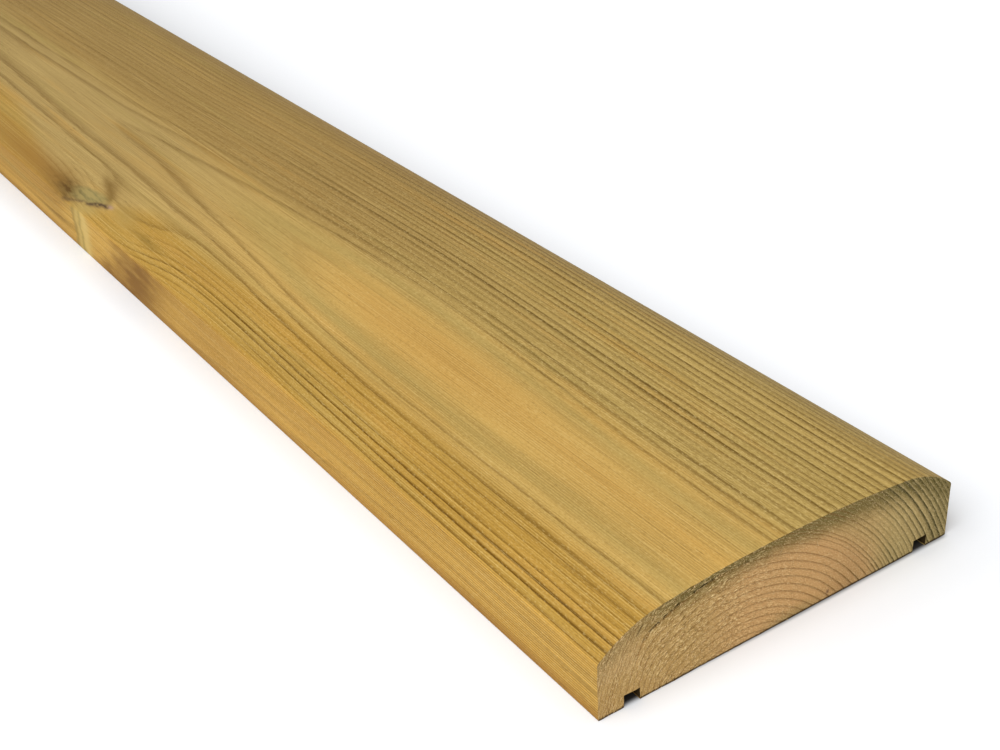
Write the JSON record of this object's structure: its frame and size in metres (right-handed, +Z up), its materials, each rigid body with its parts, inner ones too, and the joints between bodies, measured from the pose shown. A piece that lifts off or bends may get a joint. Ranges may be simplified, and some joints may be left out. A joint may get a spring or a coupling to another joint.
{
  "type": "balcony railing board",
  "caption": "Long planed pine handrail board with a crowned top, rounded shoulders, straight edges and drip grooves in its flat underside, for capping a balcony railing.",
  "frame": {"origin": "centre of the underside, on the plane that the board lies on", "axes": "+X along the board's length, +Y across its width, +Z up through the crowned top"},
  "size_m": [1.8, 0.145, 0.034],
  "materials": {
    "treated_pine": "planed, pressure-treated, unpainted"
  },
  "bodies": {
    "root": {"railing_board": "treated_pine"}
  },
  "joints": []
}
